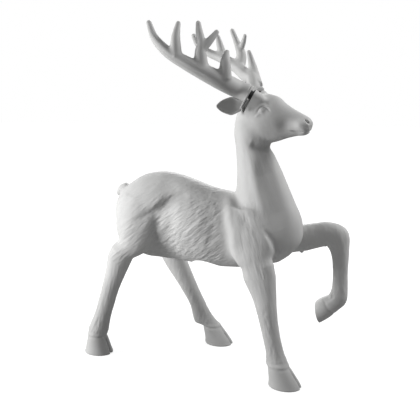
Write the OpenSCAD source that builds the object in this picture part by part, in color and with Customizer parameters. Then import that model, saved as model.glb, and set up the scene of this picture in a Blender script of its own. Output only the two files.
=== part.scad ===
// Light up yard reindeer: a hollow moulded figure in two halves, with plug-in lower legs and antlers
// and a lamp on a recessed belly hatch. Millimetres; +X is ahead of the animal, +Y its left, +Z up.
// The ground is Z = 0. Right and left are the animal's own.

/* [Mouldings] */
// Wall of the hollow mouldings
wall = 3; // [2:0.5:4]
// Gap all round between a plug-in piece and the piece that takes it
fit_gap = 0.4; // [0.3:0.1:1]
// How far a lower leg plugs into its upper limb
spigot_len = 40; // [25:1:50]

/* [Torso] */
// Height of the croup, the top of the back
croup_z = 687; // [660:1:710]
// Height of the withers, where the back meets the neck
withers_z = 629; // [615:1:645]
// Height of the underside of the belly
belly_z = 354; // [342:1:368]
// Half of the width of the barrel
barrel_half_w = 110; // [95:1:120]
// Distance of the rump behind the zero line between the right hooves
rump_x = -329; // [-344:1:-314]
// Distance of the breast ahead of the zero line
breast_x = 384; // [370:1:395]

/* [Neck and head] */
// Half of the width of the neck at its middle
neck_half_w = 60; // [50:1:70]
// Half of the width of the head at the eyes
head_half_w = 52; // [44:1:60]
// Distance of the nose tip ahead of the zero line
nose_x = 408; // [395:1:422]
// Height of the nose tip
nose_z = 853; // [843:1:863]

/* [Stance] */
// Right hind hoof, distance behind the zero line
right_hind_x = -361; // [-375:1:-345]
// Left hind hoof, distance ahead of the zero line
left_hind_x = 24; // [5:1:40]
// Right fore hoof, distance ahead of the zero line
right_fore_x = 371; // [355:1:385]
// Hind hooves, distance from the middle plane
hind_track = 133; // [120:1:145]
// Fore hooves, distance from the middle plane
fore_track = 120; // [108:1:130]
// Half of the length of a hoof at the sole
hoof_half_l = 57; // [51:1:63]
// Half of the width of a hoof at the sole
hoof_half_w = 46; // [40:1:50]
// Raised knee, distance ahead of the zero line
knee_x = 485; // [472:1:498]
// Raised knee, height
knee_z = 480; // [468:1:492]

/* [Antlers and ears] */
// Rise of the antlers over their seats on the head
antler_rise = 240; // [200:1:280]
// Radius of the beam at its foot
beam_foot_r = 29; // [26:0.5:32]
// Radius of the rounded points
point_r = 8; // [6:0.5:10]
// Thickness of the oval foot plate
foot_plate_t = 6; // [4:0.5:9]
// Gap seen between the foot plate and the socket flange
seat_gap = 9; // [5:0.5:14]
// Diameter of the peg in the socket
peg_d = 20; // [16:0.5:22]
// Length of the peg in the socket
peg_len = 32; // [28:1:36]
// Gap all round between the peg and its socket
peg_gap = 0.3; // [0.3:0.05:0.6]
// Pull that takes an antler off
antler_travel = 70; // [55:1:100]
// Length of the ear
ear_len = 85; // [75:1:100]
// Thickness of the ear
ear_t = 5; // [4:0.5:7]

/* [Belly hatch and lamp] */
// Distance of the hatch ahead of the zero line
hatch_x = 40; // [20:1:60]
// Diameter of the well that the hatch lies in
well_d = 128; // [116:1:134]
// Height of the ledge that the hatch closes
ledge_z = 396; // [390:1:402]
// Thickness of the ledge
ledge_t = 6; // [5:0.5:9]
// Clear opening in the ledge
ledge_d = 88; // [80:1:92]
// Thickness of the hatch cover
cover_t = 4; // [3:0.5:6]
// Thickness of the gasket
gasket_t = 2; // [1.5:0.5:3]
// Diameter of the lampholder
holder_d = 42; // [38:1:48]
// Height of the lampholder
holder_h = 50; // [44:1:60]
// Diameter of the bulb cap
cap_d = 26; // [24:0.5:27]
// Diameter of the bulb
globe_d = 60; // [50:1:70]
// Bore of the cable gland
cable_d = 7; // [5:0.5:9]

/* [Ground stakes and fasteners] */
// Bore of a stake bush
stake_d = 9; // [7:0.5:11]
// Wall of a stake bush
bush_wall = 2.5; // [2:0.5:4]
// Depth of a stake bush
bush_len = 44; // [30:1:50]
// Diameter of the screws' shanks
screw_d = 4.5; // [3.5:0.5:5]
// Diameter of the screws' heads
screw_head_d = 9; // [8:0.5:10]
// Height of the screws' heads
screw_head_h = 3.5; // [3:0.5:4.5]

/* [Hidden] */
$fn = 64;
shell_grey = [0.80, 0.80, 0.79];
steel = [0.65, 0.66, 0.68];
black_plastic = [0.12, 0.12, 0.13];
brass = [0.75, 0.62, 0.32];

// A station is [x, y, z, tilt, half height, half width]: one oval cut through a limb, whose axis points
// along [cos tilt, 0, sin tilt]. The half height lies in the plane of the tilt, the half width along Y.

// Torso, from the rump ahead into the breast: top and bottom of each cut first
torso_cuts = [
    [rump_x, 572, 500, 26],
    [rump_x + 14, 602, 458, 64],
    [rump_x + 52, croup_z - 48, 402, 91],
    [rump_x + 112, croup_z - 14, belly_z + 14, barrel_half_w - 5],
    [rump_x + 184, croup_z, belly_z + 9, barrel_half_w - 8],
    [rump_x + 250, croup_z - 6, belly_z + 8, barrel_half_w - 17],
    [-22, croup_z - 22, belly_z + 4, barrel_half_w - 4],
    [50, croup_z - 46, belly_z, barrel_half_w],
    [122, withers_z - 1, belly_z + 2, barrel_half_w - 9],
    [195, withers_z - 11, belly_z + 10, barrel_half_w - 13],
    [275, withers_z - 35, belly_z + 33, barrel_half_w - 28],
    [335, withers_z - 79, belly_z + 66, barrel_half_w - 52],
];
torso = [for (c = torso_cuts) [c[0], 0, (c[1] + c[2]) / 2, 0, (c[1] - c[2]) / 2, c[3]]];

// Breast and neck, from the brisket up into the skull
neck = [
    [breast_x - 103, 0, belly_z + 33, 92, 36, 36],
    [breast_x - 112, 0, belly_z + 63, 92, 88, neck_half_w + 12],
    [breast_x - 120, 0, belly_z + 113, 93, 118, neck_half_w + 24],
    [breast_x - 128, 0, 530, 94, 126, neck_half_w + 25],
    [246, 0, 602, 98, 103, neck_half_w + 15],
    [228, 0, 692, 102, 80, neck_half_w],
    [205, 0, 780, 104, 60.5, neck_half_w - 9],
    [197, 0, 846, 100, 60, neck_half_w - 12],
    [199, 0, 900, 92, 52, neck_half_w - 16],
];

// Head, from the nape to the nose
head = [
    [158, 0, 890, -12, 30, head_half_w - 26],
    [182, 0, 896, -14, 58, head_half_w - 8],
    [222, 0, 894, -17, 72, head_half_w],
    [262, 0, 876, -20, 82, head_half_w],
    [302, 0, 864, -20, 66, head_half_w - 9],
    [340, 0, 862, -18, 48, head_half_w - 19],
    [nose_x - 37, 0, nose_z + 6, -17, 36, head_half_w - 24],
    [nose_x - 16, 0, nose_z + 1, -18, 29, head_half_w - 25],
    [nose_x - 4, 0, nose_z - 2, -18, 18, head_half_w - 36],
];

// Leg joints: the flat seam where each lower leg meets its upper limb, pointing down the limb
right_hind_joint = [-278, -109, 360, -118, 46, 33];
left_hind_joint = [-164, 102, 352, -64, 48, 33];
right_fore_joint = [267, -92, 354, -78, 57, 32];
left_fore_joint = [372, 84, 466, 12, 47, 33];

// Upper limbs, from the trunk to the joint
right_thigh = [
    [-200, -52, 600, -92, 80, 40],
    [-200, -70, 530, -94, 100, 44],
    [-213, -84, 470, -98, 82, 42],
    [-219, -97, 425, -108, 60, 38],
];
left_thigh = [
    [-200, 52, 600, -92, 80, 40],
    [-200, 70, 530, -90, 99, 44],
    [-200, 84, 470, -82, 86, 42],
    [-192, 96, 420, -70, 64, 38],
];
right_shoulder = [
    [212, -50, 582, -96, 64, 40],
    [222, -66, 510, -90, 86, 44],
    [234, -78, 450, -84, 78, 40],
    [243, -87, 414, -80, 64, 36],
];
left_shoulder = [
    [226, 50, 566, -64, 66, 38],
    [250, 64, 504, -42, 78, 42],
    [290, 75, 469, -14, 66, 39],
];

// Lower legs, from the joint to the sole; tilt -90 is straight down
right_hind_cuts = [
    [-291, -112, 316, -108, 39, 29],
    [-313, -117, 250, -108, 33, 26],
    [-342, -123, 155, -107, 32, 25],
    [-359, -128, 97, -105, 37, 30],
];
left_hind_cuts = [
    [-145, 105, 312, -64, 44, 31],
    [-101, 111, 232, -62, 34, 27],
    [-66, 118, 162, -62, 30, 26],
    [-42, 127, 95, -66, 39, 29],
];
right_fore_cuts = [
    [285, -96, 296, -77, 43, 30],
    [297, -101, 246, -77, 35, 29],
    [313, -107, 178, -76, 30, 25],
    [332, -113, 108, -76, 30, 26],
    [338, -115, 84, -78, 35, 29],
];
left_fore_cuts = [
    [416, 86, 478, 10, 44, 31],
    [450, 87, 484, -8, 44, 31],
    [knee_x, 88, knee_z - 8, -48, 45, 31],
    [knee_x + 12, 88, knee_z - 58, -80, 31, 28],
    [knee_x + 15, 88, knee_z - 122, -90, 26, 25],
    [knee_x + 16, 88, knee_z - 180, -94, 27, 25],
    [knee_x + 11, 88, knee_z - 217, -120, 32, 28],
    [knee_x - 9, 88, knee_z - 242, -138, 31, 29],
    [knee_x - 36, 88, knee_z - 263, -152, 37, 35],
    [knee_x - 58, 88, knee_z - 280, -166, 39, 37],
];
pastern_z = 70;

// A standing hoof: pastern, coronet, flared wall and flat sole under the point [x, y]
function hoof_cuts(x, y, lean) = [
    [x - lean * 46, y, pastern_z, -90, 37, 31],
    [x - lean * 36, y, pastern_z - 12, -90, 40, 35],
    [x - lean * 10, y, 22, -90, hoof_half_l - 6, hoof_half_w - 5],
    [x, y, 0, -90, hoof_half_l, hoof_half_w],
];
right_hind_lower = concat(right_hind_cuts, hoof_cuts(right_hind_x, -hind_track, 0.1));
left_hind_lower = concat(left_hind_cuts, hoof_cuts(left_hind_x, hind_track, 0.7));
right_fore_lower = concat(right_fore_cuts, hoof_cuts(right_fore_x, -fore_track, 0.55));

// Antler axis: the seat is the middle of the socket flange's face, the axis points out of the head
seat = [214, -42, 956];
antler_axis = [-0.843, -0.241, 0.482];
ear_drop = 38;

// Antler branches: [x, y, height in hundredths of the rise, radius]. The left antler stands a little
// steeper and turned further ahead than the right one.
function risen(list) = [for (s = list) [s[0], s[1], seat[2] + s[2] * antler_rise / 100, s[3]]];
function on_axis(d) = seat + antler_axis * (seat_gap + d);
function other_side(p) = [p[0], -p[1], p[2]];
right_branches = [
    concat([
        concat(on_axis(3), beam_foot_r),
    ], risen([
        [167, -56, 9, beam_foot_r + 1],
        [133, -107, 18.8, beam_foot_r + 1],
        [90, -144, 29.4, beam_foot_r - 2.5],
        [35, -174, 42.5, beam_foot_r - 7],
        [-21, -187, 56.7, beam_foot_r - 11],
        [-69, -182, 75, beam_foot_r - 15],
        [-99, -167, 96.7, point_r + 1],
    ])),
    risen([[147, -112, 21.7, 22], [150, -118, 43.8, 16], [149, -102, 56.7, point_r]]),
    risen([
        [82, -148, 30.8, 24],
        [79, -153, 54.2, 19],
        [81, -150, 66.7, 15],
        [71, -144, 81.7, 12],
        [64, -137, 94.2, point_r],
    ]),
    risen([[82, -153, 58.8, 15], [105, -137, 71.3, 12], [122, -123, 82, point_r]]),
    risen([[8, -184, 48.3, 20], [4, -179, 73.8, 15], [6, -164, 93.6, point_r]]),
];
left_branches = [
    concat([
        concat(other_side(on_axis(5)), beam_foot_r - 2),
        concat(other_side(on_axis(23)), beam_foot_r - 5),
    ], risen([
        [170, 80, 25, beam_foot_r - 9],
        [136, 112, 30.8, beam_foot_r - 6],
        [84, 148, 45, beam_foot_r - 7],
        [16, 173, 59.2, beam_foot_r - 11],
        [-38, 180, 68.3, beam_foot_r - 14],
        [-81, 177, 80.4, beam_foot_r - 17],
        [-97, 166, 95, point_r + 1],
    ])),
    risen([[188, 72, 15, 23], [172, 100, 27, 20], [158, 113, 44.6, 14.5], [149, 100, 63.8, point_r]]),
    risen([
        [93, 154, 45, 21],
        [97, 161, 62.1, 18.5],
        [88, 155, 75, 13.5],
        [77, 149, 87.5, 10.5],
        [69, 140, 97.9, point_r],
    ]),
    risen([[94, 158, 70.8, 13], [111, 144, 80.8, 9.5], [123, 128, 88.8, point_r - 1.5]]),
    risen([[13, 188, 62.9, 17], [5, 180, 78.3, 13.5], [3, 162, 91.7, point_r]]),
];

// Screws that close the halves, at [x, z] in the middle plane
shell_screw_places = [[-255, 565], [-70, 620], [-90, 430], [218, 650], [205, 790], [300, 480]];
hatch_bolt_r = (well_d + ledge_d) / 4;
screw_hole_d = screw_d + 0.8;
shell_shank = 44;
shell_screw_y = shell_shank / 2;
leg_shank = 16;
peg_top = 18;
socket_wall = 4;
socket_flange_t = 4;
gasket_z = ledge_z - gasket_t;
cover_z = gasket_z - cover_t;
holder_x = hatch_x - 18;
gland_x = hatch_x + 26;

// The part stands with its middle over the origin
rear_x = right_hind_x - hoof_half_l;
front_x = knee_x + 42;
centre_x = (rear_x + front_x) / 2;
half_box = [front_x - rear_x, 2 * hind_track, seat[2] + antler_travel];

// A station moved along its own axis, and one made smaller all round
function slid(s, d) = [s[0] + d * cos(s[3]), s[1], s[2] + d * sin(s[3]), s[3], s[4], s[5]];
function shrunk(s, d) = [s[0], s[1], s[2], s[3], s[4] - d, s[5] - d];
function all_shrunk(list, d) = [for (s = list) shrunk(s, d)];

// A smooth run of stations through the listed ones, with a number of steps between each two
function eased_at(p, q, r, s, f) =
    0.5 * (2 * q + f * (r - p) + f * f * (2 * p - 5 * q + 4 * r - s) + f * f * f * (3 * q - p - 3 * r + s));
function eased(list, steps) = let (last = len(list) - 1) [
    for (i = [0 : last - 1], k = [0 : steps - 1])
        eased_at(list[max(i - 1, 0)], list[i], list[i + 1], list[min(i + 2, last)], k / steps),
    list[last],
];

// The points of one oval cut
function oval(s, sides) = [
    for (i = [0 : sides - 1]) let (w = 360 * i / sides) [
        s[0] - sin(s[3]) * s[4] * cos(w),
        s[1] + s[5] * sin(w),
        s[2] + cos(s[3]) * s[4] * cos(w),
    ],
];

// A closed surface over rings of points, each with the same number of points
module closed_rings(rings) {
    sides = len(rings[0]);
    last = (len(rings) - 1) * sides;
    walls = [
        for (r = [0 : len(rings) - 2], i = [0 : sides - 1]) let (
            a = r * sides + i,
            b = r * sides + (i + 1) % sides
        ) each [[a, b, b + sides], [a, b + sides, a + sides]],
    ];
    first_end = [for (i = [sides - 1 : -1 : 0]) i];
    last_end = [for (i = [0 : sides - 1]) last + i];
    polyhedron(points = [for (r = rings) each r], faces = concat(walls, [first_end, last_end]));
}

// The skin of a limb over its run of stations
module skin(stations, sides = 14) {
    closed_rings([for (s = stations) oval(s, sides)]);
}

// Stands a piece on the point p with its own +Z along the direction d
module along(p, d) {
    translate(p)
        rotate([0, acos(d[2] / norm(d)), atan2(d[1], d[0])])
            children();
}

module both_sides() {
    for (side = [0, 1])
        mirror([0, side, 0]) children();
}

module screw(shank) {
    translate([0, 0, -shank]) cylinder(d = screw_d, h = shank);
    cylinder(d = screw_head_d, h = screw_head_h);
}

// Upper limb down to its joint, and the hollow in it, open at the joint
function limb_run(upper, joint) = concat(eased(concat(upper, [slid(joint, -spigot_len)]), 2), [joint]);
function limb_hollow(upper, joint) = concat(
    all_shrunk(upper, wall + 2),
    [slid(shrunk(joint, wall), -spigot_len), slid(shrunk(joint, wall), 2)]
);

module body_outside() {
    skin(eased(torso, 2), 20);
    skin(eased(neck, 2), 18);
    skin(eased(head, 2), 18);
    skin(limb_run(right_thigh, right_hind_joint));
    skin(limb_run(left_thigh, left_hind_joint));
    skin(limb_run(right_shoulder, right_fore_joint));
    skin(limb_run(left_shoulder, left_fore_joint));
    tail();
}

module body_hollow() {
    torso_in = all_shrunk(torso, wall + 1);
    neck_in = all_shrunk(neck, wall + 1);
    head_in = all_shrunk(head, wall + 1);
    skin(concat([slid(torso_in[0], wall)], [for (i = [1 : len(torso) - 1]) torso_in[i]]), 12);
    skin(concat([slid(neck_in[0], wall)], [for (i = [1 : len(neck) - 1]) neck_in[i]]), 12);
    skin(concat([for (i = [0 : len(head) - 2]) head_in[i]], [slid(head_in[len(head) - 1], -wall)]), 12);
    skin(limb_hollow(right_thigh, right_hind_joint));
    skin(limb_hollow(left_thigh, left_hind_joint));
    skin(limb_hollow(right_shoulder, right_fore_joint));
    skin(limb_hollow(left_shoulder, left_fore_joint));
}

module tail() {
    hull($fn = 16) {
        translate([rump_x + 14, 0, 616]) sphere(18);
        translate([rump_x - 8, 0, 597]) sphere(12);
    }
}

// Oval plate of the antler and ear; grow widens it all round
module foot_plate(h, grow) {
    hull($fn = 32) {
        cylinder(r = beam_foot_r + grow, h = h);
        translate([ear_drop, 0, 0]) cylinder(r = 20 + grow, h = h);
    }
}

// Room behind the socket flange in which the antler and its ear come off
module antler_room() {
    along(seat - antler_axis * socket_flange_t, antler_axis) foot_plate(antler_travel, 2);
}

// Raised oval on the head that carries the socket, and its hole
module pedicle() {
    along(seat - antler_axis * socket_flange_t, antler_axis)
        hull($fn = 24) {
            translate([0, 0, -peg_len - 2]) cylinder(r1 = 18, r2 = 24, h = peg_len + 3);
            translate([0, 0, -2 * peg_len - 2]) cylinder(r = 6, h = 1);
            translate([ear_drop, 0, -20]) cylinder(r1 = 13, r2 = 19, h = 21);
        }
}

module socket_hole() {
    along(seat - antler_axis * (peg_len + 6), antler_axis)
        cylinder(d = peg_d + 2 * (peg_gap + socket_wall + fit_gap + 0.1), h = peg_len + 20, $fn = 32);
}

// A drafted boss from the wall to the middle plane, at a screw that closes the halves
module shell_boss(place) {
    translate([place[0], 0, place[1]])
        rotate([90, 0, 0])
            hull($fn = 12) {
                cylinder(d = screw_head_d + 7, h = 60, center = true);
                cylinder(d = screw_head_d + 11, h = 220, center = true);
            }
}

module shell_screw_hole(place) {
    translate([place[0], 0, place[1]])
        rotate([-90, 0, 0]) {
            translate([0, 0, -shell_screw_y - 4]) cylinder(d = screw_hole_d, h = shell_shank + 16, $fn = 12);
            translate([0, 0, shell_screw_y]) cylinder(d = screw_head_d + 1.2, h = 140, $fn = 12);
        }
}

// Flat pad for the screw across a leg joint; the screw's way points from the pad into the limb
module joint_pad(joint, way) {
    place = slid(joint, -spigot_len / 2);
    reach = way[1] == 0 ? joint[4] : joint[5];
    along([place[0], place[1], place[2]] - way * (reach + 2.5), way)
        cylinder(d = screw_head_d + 5, h = 4.5, $fn = 16);
}

module joint_screw_hole(joint, way) {
    place = slid(joint, -spigot_len / 2);
    reach = way[1] == 0 ? joint[4] : joint[5];
    along([place[0], place[1], place[2]] - way * (reach + 8), way)
        cylinder(d = screw_hole_d, h = 24, $fn = 16);
}

module joint_screw(joint, way) {
    place = slid(joint, -spigot_len / 2);
    reach = way[1] == 0 ? joint[4] : joint[5];
    along([place[0], place[1], place[2]] - way * (reach + 2.5), -way)
        screw(leg_shank);
}

joints = [
    [right_hind_joint, [0, -1, 0]],
    [left_hind_joint, [0, 1, 0]],
    [right_fore_joint, [0, -1, 0]],
    [left_fore_joint, [-sin(left_fore_joint[3]), 0, cos(left_fore_joint[3])]],
];

module hatch_bolt_places(z) {
    for (w = [45 : 90 : 315])
        translate([hatch_x + hatch_bolt_r * cos(w), hatch_bolt_r * sin(w), z])
            children();
}

// The whole hollow body with its bosses, well and holes
module body() {
    difference() {
        union() {
            body_outside();
            both_sides() pedicle();
            for (j = joints) joint_pad(j[0], j[1]);
        }
        difference() {
            body_hollow();
            for (p = shell_screw_places) shell_boss(p);
            translate([hatch_x, 0, belly_z - 20])
                cylinder(d = well_d + 2 * wall, h = ledge_z + ledge_t - belly_z + 20, $fn = 40);
            both_sides() pedicle();
        }
        for (p = shell_screw_places) shell_screw_hole(p);
        both_sides() {
            socket_hole();
            antler_room();
        }
        for (j = joints) joint_screw_hole(j[0], j[1]);
        translate([hatch_x, 0, belly_z - 30]) cylinder(d = well_d, h = ledge_z - belly_z + 30, $fn = 40);
        translate([hatch_x, 0, belly_z]) cylinder(d = ledge_d, h = 60, $fn = 40);
        hatch_bolt_places(ledge_z - 1) cylinder(d = screw_hole_d, h = 40, $fn = 12);
    }
}

module right_body_shell() {
    color(shell_grey)
        intersection() {
            body();
            translate([rear_x, -half_box[1], 0]) cube(half_box);
        }
}

module left_body_shell() {
    color(shell_grey)
        intersection() {
            body();
            translate([rear_x, 0, 0]) cube(half_box);
        }
}

module shell_screws() {
    color(steel)
        for (p = shell_screw_places)
            translate([p[0], shell_screw_y, p[1]])
                rotate([-90, 0, 0])
                    screw(shell_shank);
}

// Lower leg: spigot, shoulder and skin in one run, hollow from the spigot to the fetlock
module lower_leg(joint, cuts, hollow_cuts, way) {
    spigot = shrunk(joint, wall + fit_gap);
    bore = shrunk(joint, 2 * wall + fit_gap);
    difference() {
        skin(concat([slid(spigot, -spigot_len + 3), spigot], eased(concat([joint], cuts), 2)));
        skin(concat(
            [slid(bore, -spigot_len - 2), slid(bore, 8)],
            all_shrunk([for (i = [0 : hollow_cuts - 1]) cuts[i]], wall + 1)
        ));
        joint_screw_hole(joint, way);
    }
}

// Hole for a stake bush up through the sole
module bush_hole(x, y) {
    translate([x, y, -1]) cylinder(d = stake_d + 2 * bush_wall + 2 * fit_gap, h = bush_len + 2);
}

module right_hind_leg() {
    color(shell_grey)
        difference() {
            lower_leg(right_hind_joint, right_hind_lower, len(right_hind_cuts), joints[0][1]);
            bush_hole(right_hind_x, -hind_track);
        }
}

module left_hind_leg() {
    color(shell_grey)
        difference() {
            lower_leg(left_hind_joint, left_hind_lower, len(left_hind_cuts), joints[1][1]);
            bush_hole(left_hind_x, hind_track);
        }
}

module right_foreleg() {
    color(shell_grey)
        difference() {
            lower_leg(right_fore_joint, right_fore_lower, len(right_fore_cuts), joints[2][1]);
            bush_hole(right_fore_x, -fore_track);
        }
}

module left_foreleg() {
    color(shell_grey)
        lower_leg(left_fore_joint, left_fore_cuts, len(left_fore_cuts) - 4, joints[3][1]);
}

module leg_screws() {
    color(steel)
        for (j = joints) joint_screw(j[0], j[1]);
}

module stake_bush(x, y) {
    color(steel)
        translate([x, y, 0])
            difference() {
                cylinder(d = stake_d + 2 * bush_wall, h = bush_len);
                translate([0, 0, -1]) cylinder(d = stake_d, h = bush_len - 2);
            }
}

module right_hind_stake_bush() {
    stake_bush(right_hind_x, -hind_track);
}

module left_hind_stake_bush() {
    stake_bush(left_hind_x, hind_track);
}

module right_fore_stake_bush() {
    stake_bush(right_fore_x, -fore_track);
}

// Flanged sleeve in the head
module right_antler_socket() {
    bore_d = peg_d + 2 * peg_gap;
    color(shell_grey)
        along(seat, antler_axis)
            difference() {
                union() {
                    translate([0, 0, -socket_flange_t]) cylinder(r = 21, h = socket_flange_t);
                    translate([0, 0, -peg_len - 4]) cylinder(d = bore_d + 2 * socket_wall, h = peg_len + 4);
                }
                translate([0, 0, -peg_len - 1]) cylinder(d = bore_d, h = peg_len + 10);
            }
}

module left_antler_socket() {
    mirror([0, 1, 0]) right_antler_socket();
}

// Stepped peg: the long end in the socket, the collar on its flange, the short end in the antler
module right_antler_peg() {
    color(shell_grey)
        along(seat, antler_axis) {
            translate([0, 0, -peg_len]) cylinder(d = peg_d, h = peg_len + seat_gap + peg_top);
            cylinder(d = peg_d + 10, h = seat_gap);
        }
}

module left_antler_peg() {
    mirror([0, 1, 0]) right_antler_peg();
}

// A smooth round branch through stations [x, y, z, radius], with a rounded point
function spot(s) = [s[0], s[1], s[2]];
function heading(run, i) = spot(run[min(i + 1, len(run) - 1)]) - spot(run[max(i - 1, 0)]);
function round_end(run) = let (
    last = run[len(run) - 1],
    way = heading(run, len(run) - 1) / norm(heading(run, len(run) - 1)),
    tip = spot(last)
) [
    for (w = [45, 80]) let (p = tip + way * last[3] * sin(w)) [p[0], p[1], p[2], last[3] * cos(w)],
];
function hoop(run, i, sides) = let (
    way = heading(run, i) / norm(heading(run, i)),
    across = cross(way, [0, 1, 0]) / norm(cross(way, [0, 1, 0])),
    up = cross(across, way)
) [
    for (k = [0 : sides - 1]) let (w = 360 * k / sides)
        spot(run[i]) + run[i][3] * (across * cos(w) + up * sin(w)),
];

module branch(stations, sides = 10) {
    smooth = eased(stations, 2);
    run = concat(smooth, round_end(smooth));
    closed_rings([for (i = [0 : len(run) - 1]) hoop(run, i, sides)]);
}

// Beam with its five points on an oval foot plate, which takes the peg; side 1 is the left one
module antler(branches, side) {
    foot = seat + antler_axis * seat_gap;
    color(shell_grey)
        difference() {
            union() {
                branch(branches[0], 14);
                for (i = [1 : len(branches) - 1]) branch(branches[i]);
                mirror([0, side, 0])
                    along(foot, antler_axis) foot_plate(foot_plate_t, 0);
            }
            mirror([0, side, 0])
                along(foot - antler_axis * 10, antler_axis)
                    cylinder(d = peg_d + 2 * fit_gap, h = 10 + peg_top + 1);
        }
}

module right_antler() {
    antler(right_branches, 0);
}

module left_antler() {
    antler(left_branches, 1);
}

// Ear: a cupped leaf, its cuts open towards the front and side, its root flat on the foot plate
ear_way = [-0.90, -0.42, -0.01];
ear_open = [0.42, -0.90, 0];
ear_root = seat + antler_axis * (seat_gap + foot_plate_t) + [-17, -8, -41];
ear_cuts = [[0, 15, 12], [0.38, 29, 18], [0.6, 26, 17], [0.82, 18, 12], [1, 6.5, 6.5]];
ear_arc_steps = 8;

function ear_point(c, t, w) = ear_root + ear_way * ear_len * c[0]
    + [0, 0, 1] * (c[1] - t) * sin(w)
    - ear_open * (c[2] - t) * cos(w);
function on_plate(p) = p - ear_way * ((p - seat) * antler_axis - seat_gap - foot_plate_t)
    / (ear_way * antler_axis);
function ear_ring(c) = let (turn = [for (i = [0 : ear_arc_steps]) 180 * i / ear_arc_steps - 90]) concat(
    [for (w = turn) ear_point(c, 0, w)],
    [for (i = [ear_arc_steps : -1 : 0]) ear_point(c, ear_t, turn[i])]
);

module right_ear() {
    cuts = eased(ear_cuts, 2);
    arc = ear_arc_steps + 1;
    sides = 2 * arc;
    root = [for (p = ear_ring(cuts[0])) on_plate(p)];
    points = concat(root, [for (r = [1 : len(cuts) - 1]) each ear_ring(cuts[r])]);
    sides_of = [
        for (r = [0 : len(cuts) - 2], i = [0 : sides - 1]) let (
            a = r * sides + i,
            b = r * sides + (i + 1) % sides
        ) each [[a, b, b + sides], [a, b + sides, a + sides]],
    ];
    last = (len(cuts) - 1) * sides;
    ends = [
        for (i = [0 : arc - 2]) let (far_side = sides - 1 - i) each [
            [i + 1, i, far_side],
            [i + 1, far_side, far_side - 1],
            [last + i, last + i + 1, last + far_side],
            [last + i + 1, last + far_side - 1, last + far_side],
        ],
    ];
    color(shell_grey)
        polyhedron(points = points, faces = concat(sides_of, ends));
}

module left_ear() {
    mirror([0, 1, 0]) right_ear();
}

module hatch_gasket() {
    color(black_plastic)
        difference() {
            translate([hatch_x, 0, gasket_z]) cylinder(d = well_d - 2, h = gasket_t);
            translate([hatch_x, 0, gasket_z - 1]) cylinder(d = ledge_d, h = gasket_t + 2);
            hatch_bolt_places(gasket_z - 1) cylinder(d = screw_hole_d, h = gasket_t + 2);
        }
}

module hatch_cover() {
    color(shell_grey)
        difference() {
            translate([hatch_x, 0, cover_z]) cylinder(d = well_d - 2, h = cover_t);
            hatch_bolt_places(cover_z - 1) cylinder(d = screw_hole_d, h = cover_t + 2);
            translate([gland_x, 0, cover_z - 1]) cylinder(d = cable_d + 9 + 0.6, h = cover_t + 2);
        }
}

module hatch_screws() {
    color(steel)
        hatch_bolt_places(cover_z)
            rotate([180, 0, 0])
                screw(cover_t + gasket_t + ledge_t);
}

// Lampholder on the cover, open at the top for the bulb cap
module lampholder() {
    color(black_plastic)
        translate([holder_x, 0, cover_z + cover_t])
            difference() {
                cylinder(d = holder_d, h = holder_h);
                translate([0, 0, 12]) cylinder(d = cap_d + 1, h = holder_h);
            }
}

module bulb_cap() {
    color(brass)
        translate([holder_x, 0, cover_z + cover_t + 14]) {
            cylinder(d = cap_d, h = holder_h - 10);
            translate([0, 0, -2]) cylinder(d = 10, h = 4);
        }
}

module bulb_globe() {
    neck_z = cover_z + cover_t + holder_h + 4;
    color([0.93, 0.93, 0.90])
        translate([holder_x, 0, neck_z]) {
            cylinder(d1 = cap_d + 4, d2 = globe_d * 0.8, h = 34);
            translate([0, 0, 34 + globe_d * 0.3]) sphere(d = globe_d);
        }
}

// Cable entry through the cover: threaded body, lock nut inside and dome nut below
module gland_body() {
    color(black_plastic)
        translate([gland_x, 0, cover_z])
            difference() {
                union() {
                    translate([0, 0, -4]) cylinder(d = cable_d + 16, h = 4, $fn = 6);
                    translate([0, 0, -14]) cylinder(d = cable_d + 9, h = cover_t + 22);
                }
                translate([0, 0, -15]) cylinder(d = cable_d, h = cover_t + 24);
            }
}

module gland_locknut() {
    color(black_plastic)
        translate([gland_x, 0, cover_z + cover_t])
            difference() {
                cylinder(d = cable_d + 18, h = 4, $fn = 6);
                translate([0, 0, -1]) cylinder(d = cable_d + 9 + 0.6, h = 6);
            }
}

module gland_nut() {
    color(black_plastic)
        translate([gland_x, 0, cover_z - 18])
            difference() {
                cylinder(d1 = cable_d + 9, d2 = cable_d + 15, h = 13);
                translate([0, 0, -1]) cylinder(d = cable_d, h = 6);
                translate([0, 0, 4]) cylinder(d = cable_d + 9 + 0.6, h = 12);
            }
}

// Moves every node so that the part stands over the origin
module placed() {
    translate([-centre_x, 0, 0]) children();
}

placed() right_body_shell();
placed() left_body_shell();
placed() shell_screws();
placed() right_hind_leg();
placed() left_hind_leg();
placed() right_foreleg();
placed() left_foreleg();
placed() leg_screws();
placed() right_hind_stake_bush();
placed() left_hind_stake_bush();
placed() right_fore_stake_bush();
placed() right_antler_socket();
placed() left_antler_socket();
placed() right_antler_peg();
placed() left_antler_peg();
placed() right_antler();
placed() left_antler();
placed() right_ear();
placed() left_ear();
placed() hatch_gasket();
placed() hatch_cover();
placed() hatch_screws();
placed() lampholder();
placed() bulb_cap();
placed() bulb_globe();
placed() gland_body();
placed() gland_locknut();
placed() gland_nut();
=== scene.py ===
import math

import bmesh
import bpy
import numpy as np
from mathutils import Matrix, Vector, kdtree


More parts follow.
